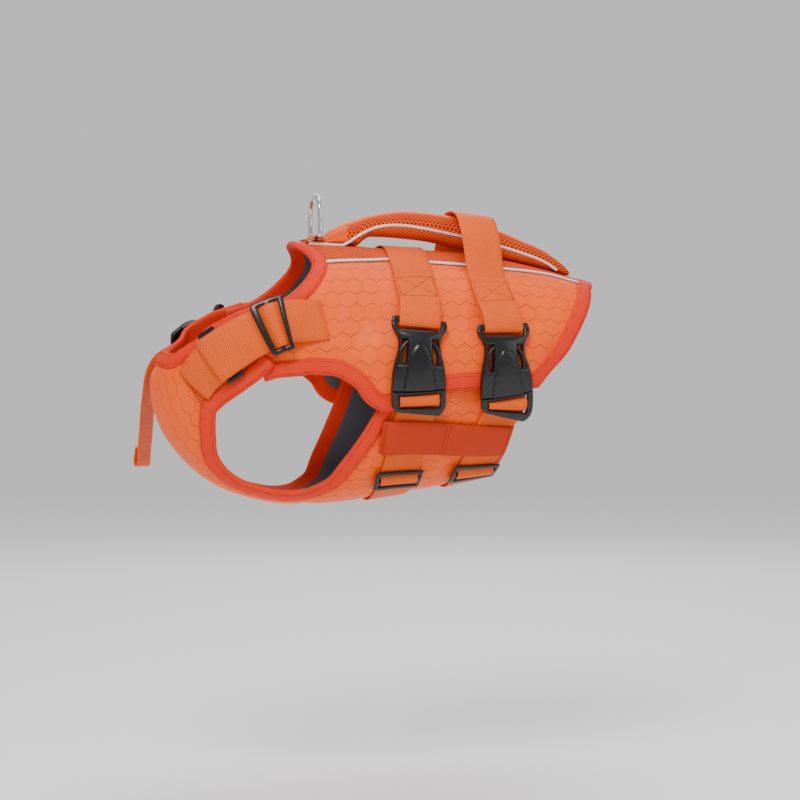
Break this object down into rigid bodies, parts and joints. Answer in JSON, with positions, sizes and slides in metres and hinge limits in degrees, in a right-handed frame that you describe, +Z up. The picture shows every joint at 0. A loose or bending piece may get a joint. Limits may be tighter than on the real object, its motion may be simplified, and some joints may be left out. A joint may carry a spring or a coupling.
{
  "type": "dog life jacket",
  "caption": "Foam-filled dog life jacket in the hollow form in which it is worn, with a carrying handle, a leash ring, a belly flap, girth straps and shoulder straps with buckles.",
  "frame": {"origin": "the inside of the saddle on the spine, at mid length of the girth straps, where the wearer's back holds the jacket", "axes": "+Z up, -X towards the wearer's head, -Y towards the wearer's left side"},
  "size_m": [0.5858, 0.3052, 0.394],
  "materials": {
    "hex_cloth": "coated ripstop with a printed net of hexagons",
    "mesh": "air mesh",
    "tape": "woven binding tape",
    "webbing": "ribbed nylon webbing",
    "piping": "reflective piping",
    "lining": "smooth woven lining",
    "plastic": "moulded, satin",
    "steel": "polished"
  },
  "bodies": {
    "jacket": {"side_panel_left": "hex_cloth", "side_panel_right": "hex_cloth", "front_panel": "hex_cloth", "spine_panel": "mesh", "shoulder_pad_left": "mesh", "shoulder_pad_right": "mesh", "handle": "mesh", "neck_binding": "tape", "edge_binding": "tape", "front_neck_binding": "tape", "leg_binding_left": "tape", "leg_binding_right": "tape", "belly_rear_binding": "tape", "front_girth_strap": "webbing", "rear_girth_strap": "webbing", "front_belly_strap": "webbing", "rear_belly_strap": "webbing", "keeper_band_left": "webbing", "keeper_band_right": "webbing", "shoulder_strap_left": "webbing", "chest_strap_left": "webbing", "shoulder_strap_right": "webbing", "chest_strap_right": "webbing", "strap_tail_right": "webbing", "ring_tab": "webbing", "spine_piping_left": "piping", "spine_piping_right": "piping", "handle_piping_left": "piping", "handle_piping_right": "piping", "back_lining": "lining", "front_lining": "lining", "front_socket_left": "plastic", "front_socket_right": "plastic", "front_plug_left": "plastic", "front_plug_right": "plastic", "front_belly_slide_left": "plastic", "front_belly_slide_right": "plastic", "rear_socket_left": "plastic", "rear_socket_right": "plastic", "rear_plug_left": "plastic", "rear_plug_right": "plastic", "rear_belly_slide_left": "plastic", "rear_belly_slide_right": "plastic", "shoulder_slide_left": "plastic", "shoulder_loop_left": "plastic", "shoulder_socket_right": "plastic", "shoulder_plug_right": "plastic"},
    "ring": {"d_ring": "steel"}
  },
  "joints": [
    {"name": "ring_swing", "type": "hinge", "parent": "jacket", "child": "ring", "pos_m": [-0.168, 0, 0.023], "axis": [0, 1, 0], "range_deg": [-80, 50]}
  ]
}
